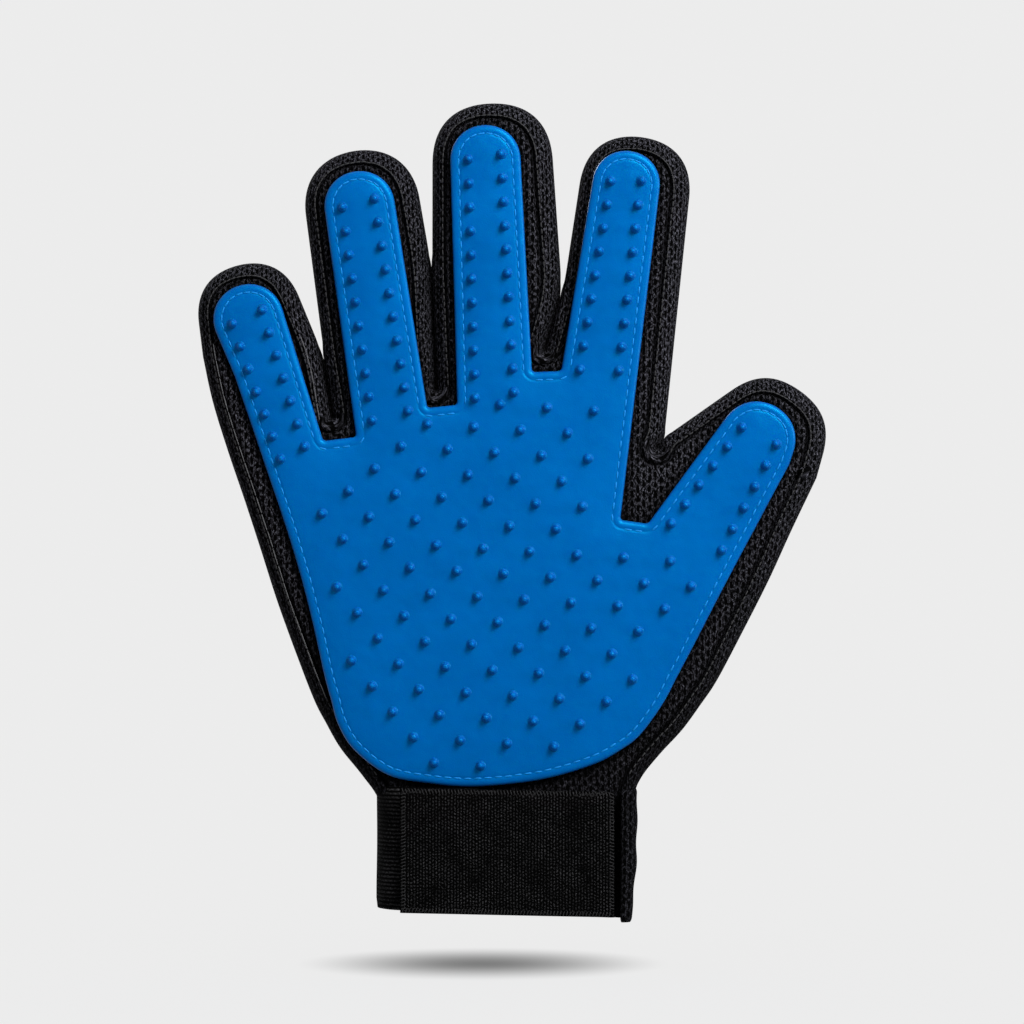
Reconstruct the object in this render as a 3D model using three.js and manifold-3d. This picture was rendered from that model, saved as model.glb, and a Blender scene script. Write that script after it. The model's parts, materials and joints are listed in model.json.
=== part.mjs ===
// A five-finger pet grooming glove for the right hand, worn upright.
// A silicone pad with soft moulded tips is sewn to a mesh palm panel. A mesh back panel wraps round the sides
// of the fingers to meet it. At the wrist an elastic band runs round the back, and a hook-and-loop tab closes
// the cuff across the palm side.
// Millimetres. X runs towards the thumb, Y from the palm to the back of the hand, Z towards the fingertips.
// The origin is the centre of the wrist opening. Each digit is a tube of its own that flexes at one fold.
import * as THREE from "three";
import { mergeVertices } from "three/addons/utils/BufferGeometryUtils.js";
import Module from "manifold-3d";

// Fabric and pad
const FRONT = -12; // plane of the mesh palm panel's outer face
const WALL = 2.2; // spacer mesh thickness
const GAP = 0.3; // between pieces that touch
const PAD_THICKNESS = 2.2;
const DIGIT_BACK = 4.5; // outer face of a digit's back, at its tip
const DIGIT_BACK_RISE = 0.045; // how much deeper a digit gets for each mm towards the palm
const BAND = 4.6; // width of back panel that shows on the palm side, outside the seam

// Cuff
const CUFF_HALF = 35.5;
const CUFF_BACK = 12;
const CUFF_HEIGHT = 37.5;
const ELASTIC_THICKNESS = 1.2;
const TAPE_THICKNESS = 0.8; // hook tape and loop tape
const TAB_THICKNESS = 1.2;
const TAB_LEFT = -30.7;
const TAB_RIGHT = 31.5;
const TAB_EDGE = 0.8; // the tab stops this far inside the cuff's height, top and bottom
const FOLD_LEFT = 33.2; // the mesh fold that the tab is sewn into, on the thumb side
const FOLD_RIGHT = 38;
const HEM_HEIGHT = 8;

// Folds of the digits
const FLEX_DEG = 75;
const EXTEND_DEG = 10;
const PIVOT_Y = FRONT + 1; // a digit folds about its palm side, where the pad keeps its length
const FOLD_GAP = 0.25; // half the gap at the pivot

// Tips of the pad, moulded in one piece with it
const TIP_SIDES = 5;
const DIGIT_TIP = { height: 3.1, base: 1.5, top: 0.85 };
const PALM_TIP = { height: 2.7, base: 1.5, top: 0.85 };
const COLUMN_INSET = [5.1, 5.6]; // a digit's two columns of tips, from the pad's left and right edge
const COLUMN_START = [0, 1.5]; // the first tip of each column, from the centre of the pad's round end
const COLUMN_PITCH = 6.9;
// The palm's tips lie on a slanting lattice: its first point, the step along a row and the step to the next
const LATTICE = { origin: [-38.1, 130.6], along: [13.56, -0.9], down: [5.95, -7.4] };
// First and last step along each row of the lattice, from the row under the fingers to the heel of the hand
const LATTICE_TOP_ROW = -3;
const LATTICE_ROWS = [
  [4, 6], [2, 5], [1, 5], [0, 4], [-1, 4], [-2, 3], [-2, 5], [-2, 5],
  [-3, 4], [-3, 3], [-3, 2], [-4, 2], [-4, 1], [-4, 0], [-4, -1], [-4, -3],
];

// Digits, from the little finger to the thumb, in the XZ plane. tip and radius are the round end of the mesh
// sleeve, padTip and padRadius that of the pad. lean is in degrees from +Z towards the thumb, fold is the
// distance from the sleeve's tip centre back to the fold, and tips counts the moulded tips in each column.
const DIGITS = [
  {
    name: "little", lean: -19.5, fold: 23, tips: [7, 7],
    tip: [-74.1, 174.9], radius: 15.4, padTip: [-74.3, 174], padRadius: 10.1,
  },
  {
    name: "ring", lean: -9.6, fold: 38, tips: [10, 10],
    tip: [-41.2, 206.1], radius: 16.9, padTip: [-42.8, 206.9], padRadius: 10.1,
  },
  {
    name: "middle", lean: -2.9, fold: 40, tips: [11, 11],
    tip: [-4, 219], radius: 17.6, padTip: [-6.1, 220.1], padRadius: 10.2,
  },
  {
    name: "index", lean: 7.3, fold: 35, tips: [9, 9],
    tip: [37.4, 211.4], radius: 15.9, padTip: [34.9, 213.1], padRadius: 9.6,
  },
  {
    name: "thumb", lean: 33, fold: 9.5, tips: [6, 6],
    tip: [74.5, 138.4], radius: 18.3, padTip: [72.6, 138.4], padRadius: 11.5,
  },
];
// Where neighbouring sleeves part: the foot of the left one's right side and of the right one's left side
const FORKS = [
  [[-49.3, 148.5], [-48, 148.5]],
  [[-20.2, 158.5], [-18.9, 158.5]],
  [[13, 166.5], [14.3, 166.5]],
  [[45.2, 139.8], [46.4, 139.8]],
];
// Where the seam between the palm panel and the back panel turns between the digits
const SEAM_TURNS = [
  [[-49.6, 145.4], [-47.6, 145.4]],
  [[-20.4, 155], [-18.4, 155]],
  [[10.8, 163.2], [12.8, 163.2]],
  [[42.6, 131], [45, 130.6]],
];
// The two bottom corners of each slot of the pad
const SLOTS = [
  [[-52.2, 138.6], [-43.6, 139.8]],
  [[-22.9, 148.2], [-13.4, 149.2]],
  [[7.4, 158.2], [16.2, 158.5]],
  [[33, 115.4], [41.3, 114.8]],
];
const SIDE_FEET = [[-76.8, 121.5], [69.6, 85.3]]; // outer side of the little finger and of the thumb
const ROOT_HEIGHT = 126; // the fingers' tubes run down into the hand to here
// The hand below the digits, from the cuff up: height, left and right edge, outer face of the back
const PALM_ROWS = [
  [0, -CUFF_HALF, CUFF_HALF, CUFF_BACK],
  [CUFF_HEIGHT + 0.5, -CUFF_HALF, CUFF_HALF, CUFF_BACK],
  [43.5, -43.2, 41.2, 11.5],
  [56, -52, 52, 11],
  [78, -61.5, 66, 11],
  [100, -69.2, 74, 11],
  [118, -75, 67, 10.5],
  [134, -79.5, 47.5, 9.5],
  [142, -80.5, 43, 8],
];
// Lower edge of the pad, from the little finger's side round the heel of the hand to the thumb's side
const PAD_HEEL = [
  [-73.6, 142.4], [-59.7, 99.8], [-52.6, 70.5], [-48.6, 56.3], [-34.5, 41.8], [-9, 38.6],
  [25.2, 44.7], [45.2, 62.1], [65.5, 101.2], [79.6, 127],
];
// Points of the pad's edge that the outer columns of tips run towards, beside the little finger and the thumb
const OUTER_EDGES = [[-64.1, 114.3], [61.2, 92.5]];
// The seam's lower edge, open at the cuff
const SEAM_HEEL = [
  [-78, 141], [-67.6, 107], [-57.6, 78], [-44.6, 49], [-33.5, 39], [-33.5, 6], [-33.5, -2],
  [33.5, -2], [33.5, 6], [33.5, 39], [50, 62], [64, 90], [84, 124],
];

const wasm = await Module();
wasm.setup();

const solidOf = (geometry) => {
  const bare = geometry.clone();
  bare.deleteAttribute("normal");
  bare.deleteAttribute("uv");
  const merged = mergeVertices(bare, 1e-4);
  return new wasm.Manifold(
    new wasm.Mesh({
      numProp: 3,
      vertProperties: merged.getAttribute("position").array,
      triVerts: new Uint32Array(merged.index.array),
    }),
  );
};

const geometryOf = (solid) => {
  const mesh = solid.getMesh();
  const geometry = new THREE.BufferGeometry();
  geometry.setAttribute("position", new THREE.BufferAttribute(mesh.vertProperties, 3));
  geometry.setIndex(new THREE.BufferAttribute(mesh.triVerts, 1));
  geometry.computeVertexNormals();
  return geometry;
};

const joined = (solids) => solids.reduce((whole, solid) => whole.add(solid));
const vector = ([x, z]) => new THREE.Vector2(x, z);

// A digit's own axes in the XZ plane: along towards its tip, across towards the thumb
function axesOf(digit) {
  const lean = THREE.MathUtils.degToRad(digit.lean);
  return {
    along: new THREE.Vector2(Math.sin(lean), Math.cos(lean)),
    across: new THREE.Vector2(Math.cos(lean), -Math.sin(lean)),
  };
}

// A point of the XZ plane in a digit's axes, from the centre of its round end
function inDigit(digit, point) {
  const { along, across } = axesOf(digit);
  const offset = vector(point).sub(vector(digit.tip));
  return { along: offset.dot(along), across: offset.dot(across) };
}

function outOfDigit(digit, along, across, y) {
  const axes = axesOf(digit);
  return new THREE.Vector3(
    digit.tip[0] + axes.along.x * along + axes.across.x * across,
    y,
    digit.tip[1] + axes.along.y * along + axes.across.y * across,
  );
}

// One ring of the hand's hollow section: flat on the palm side, round at the sides, nearly flat on the back
function section(centre, half, front, back) {
  const scale = Math.min(1, half / 14);
  const depth = (back - front) / 16.5;
  const side = [
    [half - 6.5 * scale, front],
    [half - 2 * scale, front + 2.2 * depth],
    [half, front + 7 * depth],
    [half - 1.2 * scale, back - 4.8 * depth],
    [half - 5.5 * scale, back - 1.2 * depth],
    [half - 12 * scale, back],
  ];
  const mirrored = side.map(([x, y]) => [-x, y]).reverse();
  return [...side, ...mirrored].map(([x, y]) => [centre + x, y]);
}

// A closed solid through rings of points, capped flat at both ends
function loft(rings) {
  const count = rings[0].length;
  const corners = rings.flat();
  const ends = [rings[0], rings.at(-1)].map((ring) =>
    ring.reduce((sum, point) => sum.clone().add(point), new THREE.Vector3()).divideScalar(count),
  );
  const faces = [];
  for (let row = 0; row < rings.length - 1; row++) {
    for (let i = 0; i < count; i++) {
      const next = (i + 1) % count;
      const [a, b] = [row * count + i, row * count + next];
      faces.push(a, b, b + count, a, b + count, a + count);
    }
  }
  const last = (rings.length - 1) * count;
  for (let i = 0; i < count; i++) {
    const next = (i + 1) % count;
    faces.push(next, i, corners.length);
    faces.push(last + i, last + next, corners.length + 1);
  }
  const geometry = new THREE.BufferGeometry().setFromPoints([...corners, ...ends]);
  geometry.setIndex(faces);
  return solidOf(geometry);
}

// A digit's tube as a solid, from a distance along its axis to its round end. inset takes the wall off.
function digitSolid(index, from, inset) {
  const digit = DIGITS[index];
  const feet = [
    index === 0 ? SIDE_FEET[0] : FORKS[index - 1][1],
    index === DIGITS.length - 1 ? SIDE_FEET[1] : FORKS[index][0],
  ].map((point) => inDigit(digit, point));
  const widthAt = (foot, along) => {
    const share = Math.min(1, along / foot.along);
    return digit.radius + (Math.abs(foot.across) - digit.radius) * share;
  };
  const backAt = (along) => DIGIT_BACK - DIGIT_BACK_RISE * along;
  const ringAt = (along, left, right, squeeze) => {
    const back = backAt(Math.min(0, along));
    const middle = (FRONT + back) / 2;
    const half = ((back - FRONT) / 2 - inset) * squeeze;
    const across = section((right - left) / 2, (left + right) / 2 - inset, middle - half, middle + half);
    return across.map(([x, y]) => outOfDigit(digit, along, x, y));
  };
  const lengths = [from, from / 2, 0];
  const tube = lengths.map((along) => ringAt(along, widthAt(feet[0], along), widthAt(feet[1], along), 1));
  const cap = [35, 60, 80].map((degrees) => {
    const turn = THREE.MathUtils.degToRad(degrees);
    const reach = (digit.radius - inset) * Math.sin(turn);
    const width = (digit.radius - inset) * Math.cos(turn) + inset;
    return ringAt(reach, width, width, Math.sqrt(Math.cos(turn)));
  });
  return loft([...tube, ...cap]);
}

function palmSolid(inset) {
  return loft(
    PALM_ROWS.map(([z, left, right, back]) =>
      section((left + right) / 2, (right - left) / 2 - inset, FRONT + inset, back - inset).map(
        ([x, y]) => new THREE.Vector3(x, y, z),
      ),
    ),
  );
}

// A slab between two heights of Y, from an outline in the XZ plane
function slab(shape, yFront, yBack) {
  const depth = yBack - yFront;
  const geometry = new THREE.ExtrudeGeometry(shape, { depth, bevelEnabled: false, curveSegments: 5 });
  geometry.rotateX(Math.PI / 2);
  geometry.translate(0, yBack, 0);
  return solidOf(geometry);
}

// An upright prism from an outline in the XY plane
function prism(points, bottom, top) {
  const shape = new THREE.Shape(points.map(([x, y]) => new THREE.Vector2(x, y)));
  const geometry = new THREE.ExtrudeGeometry(shape, { depth: top - bottom, bevelEnabled: false });
  geometry.translate(0, 0, bottom);
  return solidOf(geometry);
}

function box(low, high) {
  const size = high.map((value, i) => value - low[i]);
  const geometry = new THREE.BoxGeometry(...size);
  geometry.translate(...low.map((value, i) => value + size[i] / 2));
  return solidOf(geometry);
}

// Where a line from a point touches a circle, on its left or right side as seen from the point
function tangentPoint(from, centre, radius, side) {
  const reach = centre.clone().sub(from);
  const turn = Math.asin(radius / reach.length()) * side;
  const length = Math.sqrt(reach.lengthSq() - radius * radius);
  return reach.normalize().rotateAround(new THREE.Vector2(), turn).multiplyScalar(length).add(from);
}

// The outline of a whole hand: straight finger sides that end in arcs, turns between them, and a heel that is
// smooth or made of straight runs
function handOutline(ends, turns, heel, smooth) {
  const feet = [heel[0], ...turns.flat(), heel.at(-1)].map(vector);
  const shape = new THREE.Shape();
  ends.forEach(({ centre, radius }, i) => {
    const middle = vector(centre);
    const start = tangentPoint(feet[2 * i], middle, radius, 1);
    const end = tangentPoint(feet[2 * i + 1], middle, radius, -1);
    const angle = (point) => Math.atan2(point.y - middle.y, point.x - middle.x);
    if (i === 0) shape.moveTo(feet[0].x, feet[0].y);
    else shape.lineTo(feet[2 * i].x, feet[2 * i].y);
    shape.lineTo(start.x, start.y);
    shape.absarc(middle.x, middle.y, radius, angle(start), angle(end), true);
    shape.lineTo(feet[2 * i + 1].x, feet[2 * i + 1].y);
  });
  const rest = heel.slice(0, -1).reverse().map(vector);
  if (smooth) shape.splineThru(rest);
  else rest.forEach((point) => shape.lineTo(point.x, point.y));
  return shape;
}

function padOutline() {
  const ends = DIGITS.map(({ padTip, padRadius }) => ({ centre: padTip, radius: padRadius }));
  return handOutline(ends, SLOTS, PAD_HEEL, true);
}

// The seam's outline. grow moves its round ends and its turns outwards.
function seamOutline(grow) {
  const ends = DIGITS.map(({ tip, radius }) => ({ centre: tip, radius: radius - BAND + grow }));
  const turns = SEAM_TURNS.map(([left, right]) => [
    [left[0] + grow, left[1] + grow],
    [right[0] - grow, right[1] + grow],
  ]);
  const middle = SEAM_HEEL.length / 2;
  const heel = SEAM_HEEL.map(([x, z], i) => [x + (i < middle ? -grow : grow), z]);
  return handOutline(ends, turns, heel, false);
}

// The line that runs up between a digit and the next one, as its foot and a point far above the fingers
function laneLine(index) {
  if (index < 0) return [vector([-140, 90]), vector([-140, 260])];
  if (index === FORKS.length) return [vector([140, 40]), vector([140, 260])];
  const [left, right] = FORKS[index].map(vector);
  const ends = [tangentPoint(left, vector(DIGITS[index].tip), DIGITS[index].radius, -1)];
  ends.push(tangentPoint(right, vector(DIGITS[index + 1].tip), DIGITS[index + 1].radius, 1));
  const foot = left.add(right).divideScalar(2);
  const top = ends[0].add(ends[1]).divideScalar(2);
  const rise = top.sub(foot);
  return [foot, rise.clone().multiplyScalar((260 - foot.y) / rise.y).add(foot)];
}

// The space beyond a digit's fold, with room for it to flex and extend. side is 1 for the digit's own pieces
// and -1 for what they are cut from.
function beyondFold(index, side) {
  const digit = DIGITS[index];
  const reach = 30;
  const lean = (degrees) => Math.tan(THREE.MathUtils.degToRad(degrees / 2 + 1)) * reach * side;
  const start = -digit.fold + FOLD_GAP * side;
  const profile = [
    [start, PIVOT_Y],
    [start + lean(EXTEND_DEG), PIVOT_Y + reach],
    [100, PIVOT_Y + reach],
    [100, PIVOT_Y - reach],
    [start + lean(FLEX_DEG), PIVOT_Y - reach],
  ];
  const ringAt = (across) => profile.map(([along, y]) => outOfDigit(digit, along, across, y));
  const [leftFoot, leftTop] = laneLine(index - 1);
  const [rightFoot, rightTop] = laneLine(index);
  const lane = new THREE.Shape([leftFoot, rightFoot, rightTop, leftTop]);
  return loft([ringAt(-40), ringAt(40)]).intersect(slab(lane, PIVOT_Y - reach, PIVOT_Y + reach));
}

function tipSolid([x, z], { height, base, top }) {
  const geometry = new THREE.CylinderGeometry(top, base, height + 1, TIP_SIDES);
  geometry.rotateX(Math.PI);
  geometry.translate(x, FRONT - GAP - PAD_THICKNESS - (height - 1) / 2, z);
  return solidOf(geometry);
}

// Centres of the moulded tips on one digit's pad: two columns, each along its own edge of the pad
function digitTips(index) {
  const digit = DIGITS[index];
  const centre = vector(digit.padTip);
  const feet = [
    index === 0 ? OUTER_EDGES[0] : SLOTS[index - 1][1],
    index === DIGITS.length - 1 ? OUTER_EDGES[1] : SLOTS[index][0],
  ];
  return feet.flatMap((foot, column) => {
    const side = column === 0 ? 1 : -1;
    const edge = tangentPoint(vector(foot), centre, digit.padRadius, side);
    const down = vector(foot).sub(edge).normalize();
    const inwards = centre.clone().sub(edge).normalize();
    return Array.from({ length: digit.tips[column] }, (_, i) =>
      edge
        .clone()
        .addScaledVector(inwards, COLUMN_INSET[column])
        .addScaledVector(down, i * COLUMN_PITCH - COLUMN_START[column])
        .toArray(),
    );
  });
}

function palmTips() {
  const { origin, along, down } = LATTICE;
  return LATTICE_ROWS.flatMap(([first, last], row) =>
    Array.from({ length: last - first + 1 }, (_, i) =>
      [0, 1].map((k) => origin[k] + along[k] * (first + i) + down[k] * (row + LATTICE_TOP_ROW)),
    ),
  );
}

// The pad with all of its tips
function padSolid() {
  const face = FRONT - GAP - PAD_THICKNESS;
  const tips = [
    ...DIGITS.flatMap((_, index) => digitTips(index).map((point) => tipSolid(point, DIGIT_TIP))),
    ...palmTips().map((point) => tipSolid(point, PALM_TIP)),
  ];
  return joined([slab(padOutline(), face, FRONT - GAP), ...tips]);
}

const COLOURS = {
  silicone: new THREE.MeshStandardMaterial({ color: 0x0062b3, roughness: 0.45, metalness: 0 }),
  mesh: new THREE.MeshStandardMaterial({ color: 0x19191b, roughness: 0.95, metalness: 0 }),
  webbing: new THREE.MeshStandardMaterial({ color: 0x0d0d0e, roughness: 0.9, metalness: 0 }),
};

const glove = new THREE.Group();

function add(name, solid, material) {
  const mesh = new THREE.Mesh(geometryOf(solid), material);
  mesh.name = name;
  glove.add(mesh);
}

// The hand and its five digits, each of a pad, a palm panel and a back panel
function addHand() {
  const pad = padSolid();
  const seam = slab(seamOutline(0), FRONT - 5, FRONT + WALL + 0.2);
  const seamRoom = slab(seamOutline(GAP), FRONT - 5, FRONT + WALL + 0.2 + GAP);
  const stubStart = ({ tip, lean, fold }) =>
    Math.min(-fold - 30, (ROOT_HEIGHT - tip[1]) / Math.cos(THREE.MathUtils.degToRad(lean)));
  const handSolid = (inset) =>
    joined([palmSolid(inset), ...DIGITS.map((digit, i) => digitSolid(i, stubStart(digit), inset))]);
  const outside = handSolid(0);
  const inside = handSolid(WALL);
  const mouth = box([WALL - CUFF_HALF + 5, FRONT + WALL, -5], [CUFF_HALF - WALL - 5, CUFF_BACK - WALL, 5]);
  const shell = outside.subtract(inside).subtract(mouth);
  const cuts = joined(DIGITS.map((_, i) => beyondFold(i, -1)));
  add("palm_pad", pad.subtract(cuts), COLOURS.silicone);
  add("palm_mesh_panel", shell.intersect(seam).subtract(cuts), COLOURS.mesh);
  add("back_mesh_panel", shell.subtract(seamRoom).subtract(cuts), COLOURS.mesh);
  DIGITS.forEach((digit, i) => {
    const own = beyondFold(i, 1);
    const tube = digitSolid(i, -digit.fold - 5, 0).subtract(digitSolid(i, -digit.fold - 6, WALL));
    add(`${digit.name}_pad`, pad.intersect(own), COLOURS.silicone);
    add(`${digit.name}_palm_mesh`, tube.intersect(own).intersect(seam), COLOURS.mesh);
    add(`${digit.name}_back_mesh`, tube.intersect(own).subtract(seamRoom), COLOURS.mesh);
  });
}

// A band round the cuff, between two offsets from the mesh
function cuffBand(inner, outer, bottom, top) {
  const ring = (offset, z) =>
    section(0, CUFF_HALF + offset, FRONT - offset, CUFF_BACK + offset).map(
      ([x, y]) => new THREE.Vector3(x, y, z),
    );
  const filled = (offset, low, high) => loft([ring(offset, low), ring(offset, high)]);
  return filled(outer, bottom, top).subtract(filled(inner, bottom - 1, top + 1));
}

function addCuff() {
  const elastic = cuffBand(GAP, GAP + ELASTIC_THICKNESS, 0.5, CUFF_HEIGHT);
  const elasticRight = -8; // its end under the loop tape, on the palm side
  const foldBack = 8; // how far the thumb-side fold reaches round towards the back
  const frontOpening = box([elasticRight, -20, -1], [CUFF_HALF + 10, 0, CUFF_HEIGHT + 1]);
  const sideOpening = box([CUFF_HALF - 8, -1, -1], [CUFF_HALF + 10, foldBack + GAP, CUFF_HEIGHT + 1]);
  add("wrist_elastic", elastic.subtract(frontOpening).subtract(sideOpening), COLOURS.webbing);
  add("cuff_hem_binding", cuffBand(-WALL - GAP - 1, -WALL - GAP, 0.4, 0.4 + HEM_HEIGHT), COLOURS.webbing);

  const loopFace = FRONT - GAP - ELASTIC_THICKNESS - GAP - TAPE_THICKNESS;
  const hookFace = loopFace - GAP - TAPE_THICKNESS;
  const tabFace = hookFace - GAP - TAB_THICKNESS;
  const tapeBottom = TAB_EDGE + 1.5;
  const tapeTop = CUFF_HEIGHT - TAB_EDGE - 1.5;
  add(
    "strap_loop_tape",
    box([TAB_LEFT + 1.5, loopFace, tapeBottom], [elasticRight - 1, loopFace + TAPE_THICKNESS, tapeTop]),
    COLOURS.webbing,
  );
  add(
    "strap_hook_tape",
    box([TAB_LEFT + 1.5, hookFace, tapeBottom], [elasticRight - 4, hookFace + TAPE_THICKNESS, tapeTop]),
    COLOURS.webbing,
  );
  add(
    "strap_tab",
    box([TAB_LEFT, tabFace, TAB_EDGE], [TAB_RIGHT, tabFace + TAB_THICKNESS, CUFF_HEIGHT - TAB_EDGE]),
    COLOURS.webbing,
  );

  const foldFace = tabFace - 0.4;
  add(
    "strap_anchor_fold",
    prism(
      [
        [FOLD_LEFT, foldFace], [FOLD_RIGHT - 1.8, foldFace], [FOLD_RIGHT, foldFace + 2],
        [FOLD_RIGHT, foldBack], [CUFF_HALF + 0.4, foldBack], [CUFF_HALF + 0.4, FRONT + 6.6],
        [CUFF_HALF - 1.5, FRONT + 1.8], [FOLD_LEFT, FRONT - GAP],
      ],
      0,
      CUFF_HEIGHT,
    ),
    COLOURS.mesh,
  );
}

addHand();
addCuff();

export default glove;
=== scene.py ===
import json
import math
from collections import namedtuple

import bmesh
import bpy
import numpy as np
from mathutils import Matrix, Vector
from mathutils.geometry import delaunay_2d_cdt

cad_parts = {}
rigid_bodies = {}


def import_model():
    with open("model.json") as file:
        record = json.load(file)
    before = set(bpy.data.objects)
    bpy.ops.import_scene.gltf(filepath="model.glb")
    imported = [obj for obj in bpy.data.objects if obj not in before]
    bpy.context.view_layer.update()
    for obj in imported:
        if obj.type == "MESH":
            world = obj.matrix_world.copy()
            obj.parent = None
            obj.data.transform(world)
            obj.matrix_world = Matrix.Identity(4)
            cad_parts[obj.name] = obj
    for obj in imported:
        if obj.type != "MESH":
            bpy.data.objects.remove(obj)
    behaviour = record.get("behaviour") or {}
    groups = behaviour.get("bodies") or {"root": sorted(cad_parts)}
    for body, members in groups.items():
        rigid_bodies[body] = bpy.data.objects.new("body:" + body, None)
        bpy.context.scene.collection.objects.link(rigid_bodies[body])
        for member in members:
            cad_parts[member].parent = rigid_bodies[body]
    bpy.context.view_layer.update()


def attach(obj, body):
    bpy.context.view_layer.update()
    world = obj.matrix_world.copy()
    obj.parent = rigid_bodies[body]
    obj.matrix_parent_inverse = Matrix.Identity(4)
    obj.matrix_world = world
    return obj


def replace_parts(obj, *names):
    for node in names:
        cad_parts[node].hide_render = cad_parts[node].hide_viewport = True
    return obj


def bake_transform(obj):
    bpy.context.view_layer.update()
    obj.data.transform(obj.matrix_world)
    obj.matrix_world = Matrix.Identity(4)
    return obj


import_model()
rng = np.random.default_rng(11)

# Everything below is in millimetres until a mesh is made: X towards the thumb, Y from the palm to the back of
# the hand, Z towards the fingertips.
MM = 0.001

# ---------------- the glove's plan, in the XZ plane
FRONT = -12.0  # outer face of the mesh palm panel
WALL = 2.2  # spacer mesh thickness
BACK_TIP = 4.5  # outer face of the back at a fingertip
BACK_PALM = 11.0  # and on the palm

# Lean is from +Z in degrees. Tip and radius are the centre and radius of the sleeve's round end, pad_tip and
# pad_radius the same for the pad. Fold is the distance from the sleeve's centre back to the fold, column the
# number of moulded tips in each of the digit's two columns, and blunt how far the sleeve's end is squared.
Digit = namedtuple("Digit", "name lean tip radius pad_tip pad_radius fold column blunt")
DIGITS = [
    Digit("little", -19.5, (-74.2, 174.9), 15.15, (-74.7, 173.9), 10.2, 23.0, 7, 0.03),
    Digit("ring", -9.6, (-41.6, 206.3), 16.7, (-42.5, 206.7), 10.2, 38.0, 10, 0.03),
    Digit("middle", -2.9, (-3.9, 219.1), 17.5, (-6.0, 220.1), 10.2, 40.0, 11, 0.045),
    Digit("index", 7.3, (37.2, 210.9), 16.05, (34.8, 213.0), 9.8, 35.0, 9, 0.04),
    Digit("thumb", 33.0, (75.25, 139.1), 17.3, (72.8, 138.9), 11.1, 9.5, 6, 0.03),
]
LAST = len(DIGITS) - 1
# Between neighbouring digits: where the sleeves part, and the bottom of the crease below it
PARTINGS = [(-53.0, 163.5), (-21.6, 189.6), (16.4, 182.0), (46.1, 139.9)]
CREASES = [(-50.0, 145.6), (-20.0, 153.6), (11.4, 165.0), (44.4, 136.4)]
CREASE_GAP = 0.3
PAD_DIP = 0.7  # how deep the pad's edge is pressed into the mesh
SLEEVE_SCALE = 1.0055  # the outline is drawn in the palm's plane, and the sleeve's rim lies behind it
MIDDLE = np.array([1.7, 118.0])  # the point that the scaling leaves in place
CREASE_STEP = 0.5  # how far a crease steps sideways half way through the hand's depth
PARTING_CUT = [7.0, 7.0, 7.0, 1.8]  # how far back from each parting its rounded corner starts
PAD_BLUNT = 0.01
SLOT_CUT = 1.1  # size of a slot's rounded corners
# Bottom corners of the pad's slots
SLOTS = [
    ((-53.1, 138.6), (-43.5, 139.8)),
    ((-22.9, 148.2), (-14.2, 149.1)),
    ((7.5, 158.6), (16.0, 158.9)),
    ((33.1, 115.7), (41.2, 114.6)),
]
OUTER_EDGES = [(-64.1, 114.3), (61.2, 92.5)]  # where the outer columns of tips run towards
CUFF_X = 36.4  # half the cuff's width
HEM_RISE = 2.5  # how much higher the cuff's lower edge is on the little finger's side
SLEEVE_LEFT = [
    (-CUFF_X, 0.0), (-CUFF_X, 12.0), (-CUFF_X, 24.0), (-37.2, 33.5), (-42.0, 41.0), (-48.1, 49.0),
    (-52.2, 56.3), (-55.9, 63.5), (-61.5, 78.0), (-66.7, 92.5), (-71.3, 107.0), (-76.0, 121.5),
    (-80.9, 136.0), (-85.3, 150.5), (-88.4, 165.0),
]
SLEEVE_RIGHT = [
    (90.1, 127.9), (82.9, 112.8), (76.3, 98.3), (69.0, 83.8), (61.4, 69.3), (56.6, 62.1), (51.3, 54.8),
    (44.9, 47.6), (39.4, 40.3), (37.2, 34.0), (CUFF_X, 24.0), (CUFF_X, 12.0), (CUFF_X, 0.0),
]
PAD_LEFT = [
    (-9.0, 38.3), (-23.0, 39.3), (-34.5, 41.8), (-44.1, 49.0), (-48.7, 56.3), (-50.8, 63.5), (-52.8, 70.8),
    (-56.0, 85.3), (-59.7, 99.8), (-64.1, 114.3), (-69.0, 128.8), (-73.9, 143.3), (-78.9, 157.8),
]
PAD_RIGHT = [
    (82.1, 131.7), (77.4, 123.0), (72.8, 114.3), (68.1, 105.6), (61.2, 92.5), (54.5, 79.5), (49.9, 70.8),
    (45.4, 62.3), (38.9, 53.4), (33.3, 49.0), (25.2, 44.7), (9.9, 40.3),
]
# The palm's tips lie on a slanting lattice: first point, step along a row, step to the next row, and the
# first and last step along each row
LATTICE = ((-38.1, 130.6), (13.56, -0.9), (5.95, -7.4))
LATTICE_TOP_ROW = -3
LATTICE_ROWS = [
    (4, 6), (2, 5), (1, 5), (0, 4), (-1, 4), (-2, 3), (-2, 5), (-2, 5),
    (-3, 4), (-3, 3), (-3, 2), (-4, 2), (-4, 1), (-4, 0), (-4, -1), (-4, -3),
]
# A digit's two columns of tips: from the pad's edge, the first tip from the round end's centre, and apart
COLUMN_INSET = (5.3, 5.6)
COLUMN_START = (0.3, 1.5)
COLUMN_PITCH = 6.92


def smooth(t):
    t = np.clip(t, 0, 1)
    return t * t * (3 - 2 * t)


def unit(v):
    v = np.asarray(v, float)
    return v / np.linalg.norm(v)


def lengths(p):
    """How far along a line of points each one lies."""
    return np.r_[0, np.cumsum(np.linalg.norm(np.diff(p, axis=0), axis=1))]


def full_turn(count):
    return np.linspace(0, 2 * math.pi, count, endpoint=False)


def linked(name, data):
    obj = bpy.data.objects.new(name, data)
    bpy.context.scene.collection.objects.link(obj)
    return obj


def digit_axes(digit):
    lean = math.radians(digit.lean)
    along = np.array([math.sin(lean), math.cos(lean)])
    return along, np.array([along[1], -along[0]])


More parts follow.
